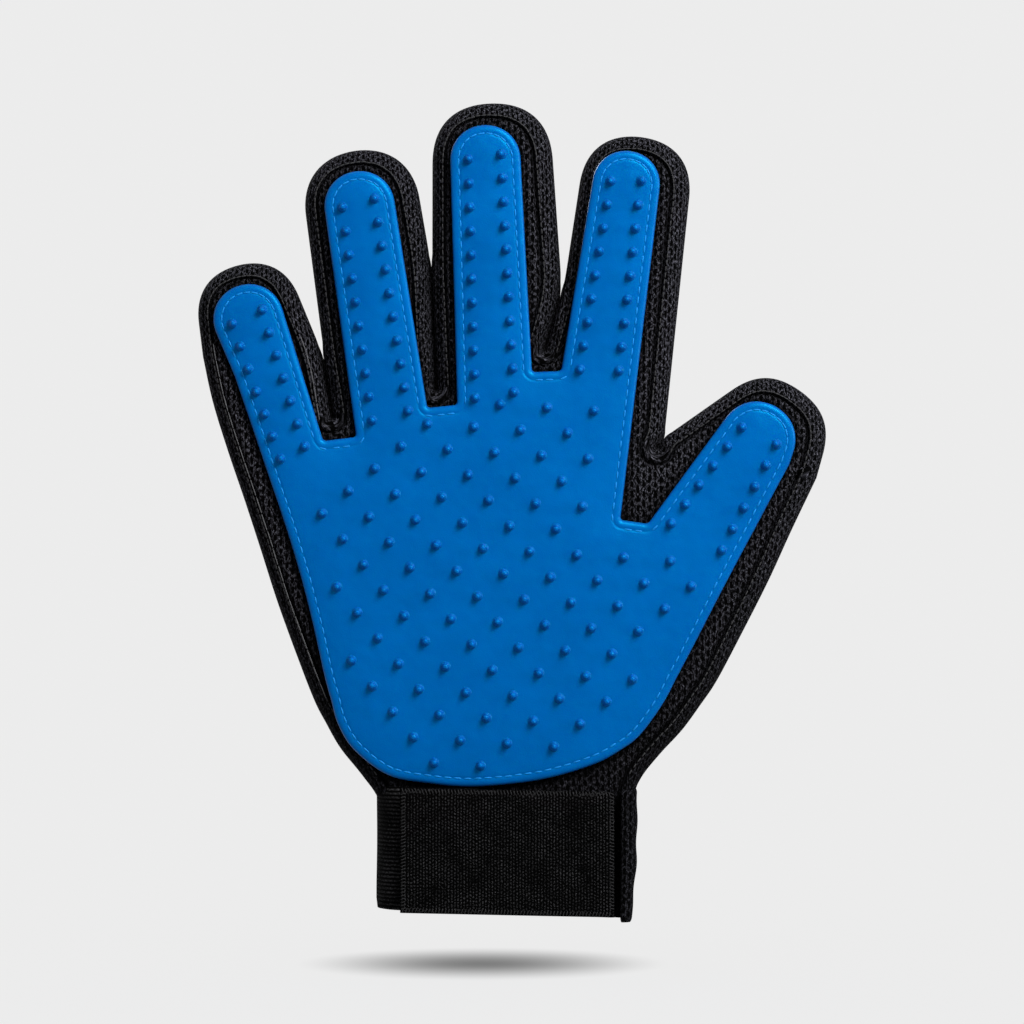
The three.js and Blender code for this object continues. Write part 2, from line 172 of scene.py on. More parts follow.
def touching(point, centre, radius, side):
    """Where a line from point touches a circle, on its left (1) or right (-1) as seen from point."""
    point, centre = np.array(point, float), np.array(centre, float)
    reach = centre - point
    size = np.linalg.norm(reach)
    turn = math.asin(radius / size) * side
    c, s = math.cos(turn), math.sin(turn)
    way = np.array([c * reach[0] - s * reach[1], s * reach[0] + c * reach[1]]) / size
    return point + way * math.sqrt(size * size - radius * radius)


def arc(centre, radius, start, end, blunt=0.0):
    """Points clockwise round a circle from start to end. blunt squares the arc off a little."""
    centre = np.array(centre, float)
    a = math.atan2(*(start - centre)[::-1])
    b = math.atan2(*(end - centre)[::-1])
    if b > a:
        b -= 2 * math.pi
    turns = np.linspace(a, b, 40)
    swell = 1 + blunt * np.sin((turns - a) / (b - a) * 2 * math.pi) ** 2
    return np.c_[np.cos(turns), np.sin(turns)] * (radius * swell)[:, None] + centre


def spline(points, steps=8):
    """A Catmull-Rom curve through points."""
    p = np.array(points, float)
    p = np.vstack([2 * p[0] - p[1], p, 2 * p[-1] - p[-2]])
    out = []
    for i in range(1, len(p) - 2):
        t = np.linspace(0, 1, steps, endpoint=False)[:, None]
        a, b, c, d = p[i - 1], p[i], p[i + 1], p[i + 2]
        square, cube = 2 * a - 5 * b + 4 * c - d, 3 * b - 3 * c + d - a
        out.append(0.5 * (2 * b + (c - a) * t + square * t**2 + cube * t**3))
    return np.vstack(out + [p[-2:-1]])


def corner(before, at, after, cut):
    """The rounded corner that starts and ends cut away from at, or less where its sides are short."""
    at = np.array(at, float)
    cut = min(cut, *(0.48 * np.linalg.norm(np.array(p) - at) for p in (before, after)))
    a, c = at + unit(np.array(before) - at) * cut, at + unit(np.array(after) - at) * cut
    t = np.linspace(0, 1, 12)[:, None]
    return (1 - t) ** 2 * a + 2 * t * (1 - t) * at + t**2 * c


BEND = math.radians(14)  # the most an outline turns from one point to the next


class Outline:
    """A curve sampled finely where it bends, with the normal that points into the shape on its right."""

    def __init__(self, points, closed, step):
        p = np.array(points, float)
        if closed:
            p = np.vstack([p, p[:1]])
        run = lengths(p)
        keep = np.r_[True, np.diff(run) > 1e-9]
        p, run = p[keep], run[keep]
        s = np.linspace(0, run[-1], int(run[-1] / 0.05), endpoint=not closed)
        fine = np.c_[np.interp(s, run, p[:, 0]), np.interp(s, run, p[:, 1])]
        if closed:
            tangent = np.roll(fine, -3, axis=0) - np.roll(fine, 3, axis=0)
        else:
            tangent = np.gradient(fine, axis=0)
        angle = np.unwrap(np.arctan2(tangent[:, 1], tangent[:, 0]))
        cost = np.r_[0, np.cumsum(np.diff(s) / step + np.abs(np.diff(angle)) / BEND)]
        count = int(math.ceil(cost[-1]))
        at = np.interp(np.linspace(0, cost[-1], count, endpoint=not closed), cost, s)
        self.run = at
        self.length = run[-1]
        self.p = np.c_[np.interp(at, s, fine[:, 0]), np.interp(at, s, fine[:, 1])]
        self.angle = np.interp(at, s, angle)
        self.n = np.c_[np.sin(self.angle), -np.cos(self.angle)]

    def inset(self, d):
        return self.p + self.n * np.broadcast_to(d, (len(self.p),))[:, None]

    def at(self, s, d):
        """Point and direction at length s along the curve, d inside it."""
        s = np.asarray(s, float)
        x, z = np.interp(s, self.run, self.p[:, 0]), np.interp(s, self.run, self.p[:, 1])
        a = np.interp(s, self.run, self.angle)
        return np.c_[x + np.sin(a) * d, z - np.cos(a) * d], np.c_[np.cos(a), np.sin(a)]


def sleeve_points():
    out = [spline(SLEEVE_LEFT)[:-1]]
    for i, digit in enumerate(DIGITS):
        tip, radius = digit.tip, digit.radius
        half = np.array([CREASE_GAP / 2, 0])
        if i == 0:
            start = touching(SLEEVE_LEFT[-1], tip, radius, 1)
        else:
            parting, crease = np.array(PARTINGS[i - 1]) + half, np.array(CREASES[i - 1]) + half
            start = touching(parting, tip, radius, 1)
            out += [corner(crease - 2 * half, crease, parting, CREASE_GAP * 0.45)]
            out += [corner(crease, parting, start, PARTING_CUT[i - 1])]
        if i == LAST:
            end = touching(SLEEVE_RIGHT[0], tip, radius, -1)
        else:
            parting, crease = np.array(PARTINGS[i]) - half, np.array(CREASES[i]) - half
            end = touching(parting, tip, radius, -1)
        out += [arc(tip, radius, start, end, digit.blunt)]
        if i < LAST:
            out += [corner(end, parting, crease, PARTING_CUT[i])]
            out += [corner(parting, crease, crease + 2 * half, CREASE_GAP * 0.45)]
    p = np.vstack(out + [spline(SLEEVE_RIGHT)])
    grow = (SLEEVE_SCALE - 1) * smooth((p[:, 1] - 36) / 20)
    return p + (p - MIDDLE) * grow[:, None]


def pad_points():
    out = []
    for i, digit in enumerate(DIGITS):
        tip, radius = digit.pad_tip, digit.pad_radius
        foot = PAD_LEFT[-1] if i == 0 else SLOTS[i - 1][1]
        start = touching(foot, tip, radius, 1)
        if i:
            out += [corner(SLOTS[i - 1][0], foot, start, SLOT_CUT)]
        foot = PAD_RIGHT[0] if i == LAST else SLOTS[i][0]
        end = touching(foot, tip, radius, -1)
        out += [arc(tip, radius, start, end, PAD_BLUNT)]
        if i < LAST:
            out += [corner(end, foot, SLOTS[i][1], SLOT_CUT)]
    return np.vstack(out + [spline(PAD_RIGHT + PAD_LEFT)])


SLEEVE = Outline(sleeve_points(), False, 1.5)
PAD = Outline(pad_points(), True, 1.1)
TIPS = np.array([d.tip for d in DIGITS])


def nearest(points, curve, closed):
    """Distance of each point from a polyline."""
    p = np.asarray(points, float)
    a = curve
    b = np.roll(curve, -1, axis=0) if closed else curve[1:]
    a = a if closed else curve[:-1]
    best = np.full(len(p), 1e9)
    ab = b - a
    size = np.maximum((ab**2).sum(1), 1e-12)
    for i in range(0, len(p), 400):
        q = p[i : i + 400, None, :]
        t = np.clip(((q - a) * ab).sum(2) / size, 0, 1)
        best[i : i + 400] = np.sqrt(((q - a - t[..., None] * ab) ** 2).sum(2)).min(1)
    return best


def back_height(p):
    """Outer face of the back of the hand."""
    far = np.sqrt(((p[:, None, :] - TIPS) ** 2).sum(2)).min(1)
    return BACK_TIP + (BACK_PALM - BACK_TIP) * smooth(far / 105)


def warp(p):
    """How far the fabric and the pad stand proud of a flat palm, as one soft surface."""
    x, z = p[:, 0], p[:, 1]
    crown = 1.3 * np.exp(-(((x - 2) / 46) ** 2) - ((z - 92) / 42) ** 2)
    ripple = 0.32 * np.sin(x * 0.071 + 0.6) * np.sin(z * 0.049 + 1.1) + 0.14 * np.sin(x * 0.19 - z * 0.13)
    return (crown + ripple) * smooth((z - 40) / 22)


def seam_inset():
    """How far inside the sleeve's outline the palm panel's seam runs: further on each digit's thumb side."""
    return 4.6 - SLEEVE.n[:, 0] * smooth((SLEEVE.p[:, 1] - 60) / 50)


def rolled(d, width):
    t = np.clip(d / width, 0, 1)
    return np.sqrt(np.maximum(1 - (1 - t) ** 2, 0))


def sleeve_front(p, d):
    """Outer face of the palm side. It dips along the edge of the pad, which is pressed into the mesh."""
    back = back_height(p)
    middle = (FRONT + back) / 2
    dip = PAD_DIP * (1 - smooth(nearest(p, PAD.p, True) / 1.7)) * smooth((p[:, 1] - 36) / 4)
    return middle + (FRONT - middle) * rolled(d, 6.2) - warp(p) * smooth(d / 9) + dip


def sleeve_back(p, d):
    back = back_height(p)
    middle = (FRONT + back) / 2
    x, z = p[:, 0], p[:, 1]
    ripple = 0.35 * np.sin(x * 0.11 + 0.8) * np.sin(z * 0.06) * smooth(d / 12) * smooth((z - 45) / 20)
    return middle + (back - middle) * rolled(d, 12.5) + ripple


def slant(x, z):
    """How far the cuff's thumb side leans inwards towards its lower edge."""
    return (0.5 * np.clip(1 - z / 37, 0, 1) + 1.1 * smooth((18 - z) / 18)) * smooth((x - 32.6) / 3.6)


def stepped(v):
    """Moves points beside a crease sideways, the palm's half one way and the back's the other, and slopes the
    cuff's lower edge."""
    v = np.array(v, float)
    p = v[:, [0, 2]]
    middle = (FRONT + back_height(p)) / 2
    for crease, parting in zip(CREASES, PARTINGS):
        foot, way = np.array(crease), unit(np.array(parting) - np.array(crease))
        length = np.linalg.norm(np.array(parting) - foot)
        q = p - foot
        along, across = q @ way, q @ np.array([way[1], -way[0]])
        past = np.maximum(np.maximum(-along, along - length), 0)
        close = np.exp(-((across / 3.0) ** 2) - (past / 3.5) ** 2)
        shift = CREASE_STEP * np.tanh((v[:, 1] - middle) / 1.2) * close
        v[:, 0] += shift * way[1]
        v[:, 2] -= shift * way[0]
    v[:, 0] -= slant(p[:, 0], p[:, 1])
    v[:, 2] += HEM_RISE * (1 - smooth(p[:, 1] / 16)) * (CUFF_X - p[:, 0]) / (2 * CUFF_X)
    return v


def fill(ring, extra, spacing, traced=()):
    """Triangles over the inside of a closed ring, with points along the curves in traced. Gives 2D points,
    triangles and each ring point's new index."""
    poly = np.vstack([ring, extra]) if len(extra) else ring
    low, high = poly.min(0), poly.max(0)
    rows = np.arange(low[1] + spacing / 2, high[1], spacing * 0.866)
    grid = []
    for k, z in enumerate(rows):
        x = np.arange(low[0] + (k % 2) * spacing / 2, high[0], spacing)
        grid.append(np.c_[x, np.full(len(x), z)])
    grid = np.vstack(grid)
    a, b = poly, np.roll(poly, -1, axis=0)
    for curve in traced:
        grid = np.vstack([grid[nearest(grid, curve, True) > 1.2], curve])
    inside = np.zeros(len(grid), bool)
    for (x0, z0), (x1, z1) in zip(a, b):
        if z0 == z1:
            continue
        crosses = (grid[:, 1] > z0) != (grid[:, 1] > z1)
        inside ^= crosses & (grid[:, 0] < (x1 - x0) * (grid[:, 1] - z0) / (z1 - z0) + x0)
    grid = grid[inside]
    grid = grid[nearest(grid, poly, True) > (0.5 if len(traced) else spacing * 0.55)]
    verts = [Vector(v) for v in np.vstack([poly, grid])]
    edges = [(i, (i + 1) % len(poly)) for i in range(len(poly))]
    out, _, faces, sources, _, _ = delaunay_2d_cdt(verts, edges, [], 1, 1e-7)
    index = {}
    for new, olds in enumerate(sources):
        for old in olds:
            index[old] = new
    return np.array([tuple(v) for v in out]), [tuple(f) for f in faces], index


class Shell:
    """Collects points, faces, a grain coordinate for each face corner, and a tag for each face."""

    def __init__(self):
        self.v, self.f, self.uv, self.tag = [], [], [], []

    def points(self, xyz):
        first = len(self.v)
        self.v.extend(map(tuple, xyz))
        return np.arange(first, len(self.v))

    def face(self, corners, uvs, tag=0):
        self.f.append(tuple(int(c) for c in corners))
        self.uv.append([tuple(u) for u in uvs])
        self.tag.append(tag)

    def band(self, a, b, ua, ub, closed, flip, tag):
        """Quads between two rows of points."""
        n = len(a)
        for i in range(n if closed else n - 1):
            j = (i + 1) % n
            corners, uvs = [a[i], b[i], b[j], a[j]], [ua[i], ub[i], ub[j], ua[j]]
            if flip:
                corners, uvs = corners[::-1], uvs[::-1]
            self.face(corners, uvs, tag)

    def tube(self, rows, uvs, flip, closed=True, tags=None):
        """Bands between all neighbouring rows."""
        for k in range(len(rows) - 1):
            tag = tags[k] if tags else 0
            self.band(rows[k], rows[k + 1], uvs[k], uvs[k + 1], closed, flip, tag)

    def cap(self, row, ring, height, spacing, flip, extra=(), tag=0, traced=()):
        """Triangles inside a row of points that stand on ring in the XZ plane. height gives y from points."""
        points, faces, index = fill(ring, extra, spacing, traced)
        known = {index[i]: row[i] for i in range(len(ring))}
        y = height(points)
        fresh = [i for i in range(len(points)) if i not in known]
        ids = np.empty(len(points), int)
        ids[fresh] = self.points(three(points[fresh], y[fresh]))
        for i, v in known.items():
            ids[i] = v
        for f in faces:
            f = f[::-1] if flip else f
            self.face([ids[i] for i in f], [points[i] for i in f], tag)

    def bmesh(self):
        bm = bmesh.new()
        grain = bm.loops.layers.uv.new("grain")
        panel = bm.faces.layers.int.new("panel")
        verts = [bm.verts.new(v) for v in self.v]
        for corners, uvs, tag in zip(self.f, self.uv, self.tag):
            if len(set(corners)) < 3:
                continue
            try:
                face = bm.faces.new([verts[c] for c in corners])
            except ValueError:
                continue
            face.smooth = True
            face[panel] = tag
            for loop, uv in zip(face.loops, uvs):
                loop[grain].uv = uv
        return bm


def three(p, y):
    return np.c_[p[:, 0], np.broadcast_to(y, (len(p),)), p[:, 1]]


def side_surface(shell, outline, rings, height, flip, extra, spacing, first=None, tags=None, traced=()):
    """Rings inwards from an open outline, then a fill. rings is a list of (inset, lift), height gives y from
    2D points and inset, and first is an outermost row of points to share. Grain coordinates follow the
    surface round the edge."""
    insets = [np.broadcast_to(d, (len(outline.p),)).astype(float) for d, _ in rings]
    flat = [outline.inset(d) for d in insets]
    ys = [height(p, d) + lift for p, d, (_, lift) in zip(flat, insets, rings)]
    spread = [np.zeros(len(outline.p))]
    for k in range(len(rings) - 1, 0, -1):
        spread.insert(0, spread[0] + np.hypot(insets[k] - insets[k - 1], ys[k] - ys[k - 1]))
    uvs = [flat[-1] - outline.n * s[:, None] for s in spread]
    rows = []
    for k, (p, y) in enumerate(zip(flat, ys)):
        rows.append(first if k == 0 and first is not None else shell.points(three(p, y)))
    shell.tube(rows, uvs, flip, False, tags)

    def inner(p):
        return height(p, nearest(p, outline.p, False)) + rings[-1][1]

    shell.cap(rows[-1], flat[-1], inner, spacing, flip, extra, tags[-1] if tags else 0, traced)
    return rows


# ---------------- splitting at the folds
def in_digit(i, p):
    along, across = digit_axes(DIGITS[i])
    q = np.asarray(p, float) - np.array(DIGITS[i].tip)
    return q @ along, q @ across


def cut_of(i):
    """Where a digit's pieces part from the hand's: above the creases beside it, from its tip's centre."""
    beside = [CREASES[k] for k in (i - 1, i) if 0 <= k < len(CREASES)]
    return max(in_digit(i, crease)[0] for crease in beside) + 1.0


CUTS = [cut_of(i) for i in range(len(DIGITS))]


def lane_line(i):
    """Foot and direction of the line that runs up between digit i and the next."""
    if i < 0:
        return np.array([-140.0, 100.0]), np.array([0.0, 1.0])
    if i == len(CREASES):
        return np.array([140.0, 60.0]), np.array([0.0, 1.0])
    left = touching(PARTINGS[i], DIGITS[i].tip, DIGITS[i].radius, -1)
    right = touching(PARTINGS[i], DIGITS[i + 1].tip, DIGITS[i + 1].radius, 1)
    return np.array(PARTINGS[i]), unit((left + right) / 2 - np.array(PARTINGS[i]))


def region_of(p):
    """The digit that a point of the XZ plane belongs to, or -1 for the hand."""
    for i in range(len(DIGITS)):
        if in_digit(i, p)[0] <= CUTS[i]:
            continue
        sides = []
        for k in (i - 1, i):
            foot, way = lane_line(k)
            if 0 <= k < len(CREASES) and p[1] < foot[1]:
                crease = np.array(CREASES[k])
                foot, way = crease, unit(foot - crease)
            q = np.asarray(p) - foot
            sides.append(q[0] * way[1] - q[1] * way[0])
        if sides[0] >= 0 and sides[1] <= 0:
            return i
    return -1


def split_regions(bm):
    """Cuts the mesh at each digit's cut plane and gives each face its region in a layer."""
    stored = bm.verts.layers.float_vector.new("rest_normal")
    bm.normal_update()
    for v in bm.verts:
        v[stored] = v.normal
    for i, digit in enumerate(DIGITS):
        along, _ = digit_axes(digit)
        at = np.array(digit.tip) + along * CUTS[i]
        near = []
        for face in bm.faces:
            c = face.calc_center_median()
            depth, across = in_digit(i, (c.x, c.z))
            if abs(depth - CUTS[i]) < 6 and abs(across) < 34:
                probe = np.array([c.x, c.z]) + along * (CUTS[i] + 3 - depth)
                if region_of(probe) == i:
                    near.append(face)
        geom = set(near)
        for face in near:
            geom.update(face.edges)
            geom.update(face.verts)
        bmesh.ops.bisect_plane(
            bm, geom=list(geom), plane_co=(at[0], 0, at[1]), plane_no=(along[0], 0, along[1]), dist=1e-4
        )
    region = bm.faces.layers.int.new("region")
    for face in bm.faces:
        c = face.calc_center_median()
        face[region] = region_of((c.x, c.z))


def keep_faces(bm, wanted):
    part = bm.copy()
    panel, region = part.faces.layers.int["panel"], part.faces.layers.int["region"]
    gone = [f for f in part.faces if not wanted(f[panel], f[region])]
    bmesh.ops.delete(part, geom=gone, context="FACES")
    return part


def object_of(bm, name, material):
    mesh = bpy.data.meshes.new(name)
    bmesh.ops.scale(bm, vec=(MM, MM, MM), verts=bm.verts)
    bm.to_mesh(mesh)
    bm.free()
    mesh.materials.append(material)
    return linked(name, mesh)


def applied(obj):
    """Applies the object's modifiers to its mesh."""
    graph = bpy.context.evaluated_depsgraph_get()
    mesh = bpy.data.meshes.new_from_object(
        obj.evaluated_get(graph), preserve_all_data_layers=True, depsgraph=graph
    )
    obj.modifiers.clear()
    old, obj.data = obj.data, mesh
    bpy.data.meshes.remove(old)


def keep_normals(obj, outer):
    """Shades the first outer points by the normals from before the mesh was split, so no line shows."""
    mesh = obj.data
    rest = np.empty(len(mesh.vertices) * 3, np.float32)
    mesh.attributes["rest_normal"].data.foreach_get("vector", rest)
    rest = rest.reshape(-1, 3)
    normals = np.zeros((len(mesh.loops), 3), np.float32)
    for poly in mesh.polygons:
        loops = list(poly.loop_indices)
        verts = [mesh.loops[k].vertex_index for k in loops]
        if max(verts) < outer and poly.use_smooth:
            for k, v in zip(loops, verts):
                normals[k] = rest[v]
    mesh.normals_split_custom_set([tuple(n) for n in normals])
    mesh.attributes.remove(mesh.attributes["rest_normal"])


def placed(bm, name, material, body):
    """A piece that rides on one body."""
    obj = object_of(bm, name, material)
    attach(obj, body)
    return obj


def move_with(obj, region):
    """The hand's pieces ride on the hand. A digit's pieces keep their place, baked into their mesh."""
    if region < 0:
        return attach(obj, "hand")
    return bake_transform(obj)


REGIONS = range(-1, len(DIGITS))


def region_name(region):
    return "hand" if region < 0 else DIGITS[region].name


# ---------------- materials
class Nodes:
    """A short way to write a material's node tree."""

    def __init__(self, name):
        self.material = bpy.data.materials.new(name)
        self.material.use_nodes = True
        self.tree = self.material.node_tree
        self.tree.nodes.clear()
        self.shader = self.add("ShaderNodeBsdfPrincipled")
        output = self.add("ShaderNodeOutputMaterial")
        self.tree.links.new(self.shader.outputs[0], output.inputs[0])

    def add(self, kind, **settings):
        node = self.tree.nodes.new(kind)
        for key, value in settings.items():
            setattr(node, key, value)
        return node

    def put(self, value, socket):
        if isinstance(value, bpy.types.NodeSocket):
            self.tree.links.new(value, socket)
        else:
            socket.default_value = value

    def math(self, operation, *values, clamp=False):
        node = self.add("ShaderNodeMath", operation=operation, use_clamp=clamp)
        for value, socket in zip(values, node.inputs):
            self.put(value, socket)
        return node.outputs[0]

    def plus(self, a, b):
        return self.math("ADD", a, b)

    def minus(self, a, b):
        return self.math("SUBTRACT", a, b)

    def times(self, a, b):
        return self.math("MULTIPLY", a, b)

    def over(self, a, b):
        return self.math("DIVIDE", a, b)

    def smooth(self, value, low, high, out_low=0.0, out_high=1.0):
        node = self.add("ShaderNodeMapRange", interpolation_type="SMOOTHSTEP")
        for v, socket in zip((value, low, high, out_low, out_high), node.inputs):
            self.put(v, socket)
        return node.outputs[0]

    def grain(self):
        """The piece's own surface coordinates, in millimetres."""
        return self.add("ShaderNodeUVMap", uv_map="grain").outputs[0]

    def split(self, vector):
        node = self.add("ShaderNodeSeparateXYZ")
        self.put(vector, node.inputs[0])
        return node.outputs[0], node.outputs[1]

    def scaled(self, vector, scale):
        node = self.add("ShaderNodeMapping")
        self.put(vector, node.inputs["Vector"])
        node.inputs["Scale"].default_value = scale
        return node.outputs[0]

    def noise(self, vector, scale, detail=2.0, rough=0.5):
        node = self.add("ShaderNodeTexNoise")
        self.put(vector, node.inputs["Vector"])
        for key, value in (("Scale", scale), ("Detail", detail), ("Roughness", rough)):
            node.inputs[key].default_value = value
        return node.outputs[0]

    def mix(self, factor, a, b):
        node = self.add("ShaderNodeMix", data_type="RGBA")
        self.put(factor, node.inputs["Factor"])
        self.put(a, node.inputs[6])
        self.put(b, node.inputs[7])
        return node.outputs[2]

    def bump(self, height, distance, normal=None, strength=1.0):
        node = self.add("ShaderNodeBump")
        node.inputs["Strength"].default_value = strength
        node.inputs["Distance"].default_value = distance
        self.put(height, node.inputs["Height"])
        if normal is not None:
            self.put(normal, node.inputs["Normal"])
        return node.outputs[0]

    def finish(self, color, rough, normal=None, **constants):
        self.put(color, self.shader.inputs["Base Color"])
        self.put(rough, self.shader.inputs["Roughness"])
        if normal is not None:
            self.put(normal, self.shader.inputs["Normal"])
        for key, value in constants.items():
            self.shader.inputs[key.replace("_", " ")].default_value = value
        return self.material


def grey(value, tint=(1.0, 1.0, 1.06)):
    return (value * tint[0], value * tint[1], value * tint[2], 1)


def silicone():
    m = Nodes("silicone_blue")
    place = m.grain()
    clouds = m.noise(place, 0.045, 3, 0.6)
    scuffs = m.noise(m.scaled(place, (0.5, 1.4, 1)), 0.5, 4, 0.7)
    color = m.mix(m.smooth(clouds, 0.3, 0.7), (0.0, 0.071, 0.274, 1), (0.0, 0.081, 0.304, 1))
    color = m.mix(m.smooth(scuffs, 0.62, 0.78, 0.0, 0.3), color, (0.0, 0.118, 0.4, 1))
    rough = m.smooth(m.noise(place, 0.8, 4, 0.65), 0.3, 0.7, 0.29, 0.37)
    skin = m.bump(m.noise(place, 2.2, 3, 0.6), 0.00006)
    skin = m.bump(m.noise(place, 0.16, 1, 0.5), 0.0005, skin, 0.5)
    return m.finish(
        color, rough, skin, Specular_IOR_Level=0.55, Specular_Tint=(0.0, 0.6, 1.0, 1),
        Subsurface_Weight=0.3, Subsurface_Radius=(0.03, 0.25, 1.0), Subsurface_Scale=0.0022,
    )


def mesh_fabric():
    m = Nodes("spacer_mesh_black")
    place = m.grain()
    wobble = m.noise(place, 0.55, 2, 0.5)
    u, v = m.split(place)
    u = m.plus(u, m.times(m.minus(wobble, 0.5), 0.6))
    column = m.over(u, 1.7)
    number = m.math("FLOOR", column)
    fu = m.minus(m.math("FRACT", column), 0.5)
    stagger = m.math("FRACT", m.times(number, 0.5))
    slip = m.times(m.minus(m.noise(place, 0.4, 1, 0.5), 0.5), 0.5)
    row = m.plus(m.plus(m.over(v, 2.8), stagger), slip)
    fv = m.minus(m.math("FRACT", row), 0.5)
    eu = m.over(fu, 0.27)
    ev = m.over(fv, 0.37)
    far = m.math("SQRT", m.plus(m.times(eu, eu), m.times(ev, ev)))
    hole = m.smooth(far, 0.8, 1.1, 1.0, 0.0)
    yarn = m.noise(m.scaled(place, (1.0, 0.5, 1)), 2.2, 3, 0.6)
    curls = m.noise(m.scaled(place, (1.0, 0.7, 1)), 1.3, 2, 0.6)
    ridge = m.math("ABSOLUTE", m.minus(curls, 0.5))
    strands = m.smooth(ridge, 0.0, 0.045, 1.0, 0.0)
    light = m.times(m.smooth(yarn, 0.43, 0.72), m.plus(m.times(strands, 0.65), 0.35))
    # Painted shade: the yarn is drawn darker towards the cuff, down to 0.3 of its lightness at the bottom
    light = m.times(light, m.smooth(v, 20.0, 150.0, 0.3, 1.0))
    color = m.mix(light, grey(0.001), grey(0.215, (1.0, 1.0, 1.22)))
    # Painted shade: the holes, which are only in the bump, are coloured near black for the shade inside them
    color = m.mix(hole, color, grey(0.0004))
    # Painted shade: the fabric is drawn darker in the creases beside the pad and along the seam
    painted_crease_fac = m.add("ShaderNodeAttribute", attribute_name="crease").outputs["Fac"]
    color = m.mix(m.times(painted_crease_fac, 0.8), color, grey(0.0005))
    height = m.minus(m.plus(m.times(yarn, 0.55), m.times(strands, 0.35)), hole)
    normal = m.bump(height, 0.0007)
    return m.finish(color, m.smooth(strands, 0.3, 0.7, 0.95, 0.75), normal, Specular_IOR_Level=0.02)


def ribbed(name, pitch, cross, dark, bright, along_x, beads=0.6, uneven=0.0):
    """Narrow webbing: raised ribs, each broken into stitches, strongly so if beads is high. uneven roughens
    the stitches."""
    m = Nodes(name)
    place = m.grain()
    u, v = m.split(place)
    if along_x:
        u, v = v, u
    wobble = m.times(m.minus(m.noise(place, 0.5, 2, 0.5), 0.5), 0.35)
    u = m.plus(u, wobble)
    rib = m.math("ABSOLUTE", m.math("SINE", m.times(u, math.pi / pitch)))
    odd = m.times(m.math("FLOOR", m.over(u, pitch)), 0.5)
    drift = m.times(m.noise(m.scaled(place, (1.0, 0.4, 1)), 0.9, 2, 0.6), uneven * 4)
    turn = m.times(m.plus(m.plus(m.over(v, cross), odd), drift), 2 * math.pi)
    bead = m.plus(m.times(m.math("SINE", turn), 0.5), 0.5)
    fuzz = m.noise(place, 2.2, 3, 0.8)
    patch = m.noise(place, 0.12, 2, 0.6)
    height = m.plus(m.times(rib, m.plus(m.times(bead, beads), 1 - beads)), m.times(fuzz, 0.75 + uneven))
    flecks = m.smooth(m.plus(fuzz, m.times(patch, 0.4)), 0.55, 0.93)
    # The yarn is drawn lighter where the ribs and fuzz stand highest: a painted highlight on the raised
    # parts, broken up by random flecks
    light = m.times(m.smooth(height, 0.72 + 0.6 * uneven, 1.5 + 0.5 * uneven), flecks)
    color = m.mix(light, grey(dark), grey(bright))
    return m.finish(color, 0.9, m.bump(height, 0.00035), Specular_IOR_Level=0.02)


def thread(name, low, high):
    m = Nodes(name)
    twist = m.noise(m.scaled(m.grain(), (1, 3, 1)), 2.5, 2, 0.6)
    color = m.mix(m.smooth(twist, 0.3, 0.7), low, high)
    return m.finish(color, 0.6, m.bump(twist, 0.0001), Specular_IOR_Level=0.15)


def fuzzy(name, dark, bright, scale):
    m = Nodes(name)
    place = m.grain()
    nap = m.noise(place, scale, 5, 0.75)
    curl = m.noise(place, scale * 0.3, 2, 0.5)
    color = m.mix(m.smooth(nap, 0.35, 0.75), grey(dark), grey(bright))
    return m.finish(color, 0.95, m.bump(m.plus(nap, curl), 0.0006), Specular_IOR_Level=0.05)


SILICONE = silicone()
MESH = mesh_fabric()
ELASTIC = ribbed("elastic_black", 1.15, 1.5, 0.0003, 0.044, True, 0.25)
WEBBING = ribbed("tab_webbing_black", 0.9, 1.0, 0.0002, 0.046, False, 0.6, 0.6)
BINDING = ribbed("binding_black", 0.6, 0.7, 0.002, 0.014, True)
BLUE_THREAD = thread("thread_blue", (0.0, 0.12, 0.4, 1), (0.0, 0.2, 0.56, 1))
BLACK_THREAD = thread("thread_black", grey(0.006), grey(0.045))
DARK_THREAD = thread("thread_dark", grey(0.003), grey(0.026))
GREY_THREAD = thread("thread_grey", grey(0.02), grey(0.14))
LOOP_TAPE = fuzzy("loop_tape_black", 0.0008, 0.04, 1.6)
HOOK_TAPE = fuzzy("hook_tape_black", 0.0008, 0.03, 1.2)


# ---------------- the sleeve: back panel and palm panel
def painted_crease_shade(p, seam):
    """Painted shade for the fabric's creases: how much darker it is drawn beside the pad and along the palm
    panel's seam.
    """
    beside_pad = np.exp(-((nearest(p, PAD.p, True) / 1.6) ** 2))
    return np.maximum(beside_pad, 0.9 * np.exp(-((nearest(p, seam, False) / 1.1) ** 2)))


GRID = 4.2  # distance between the points inside a panel


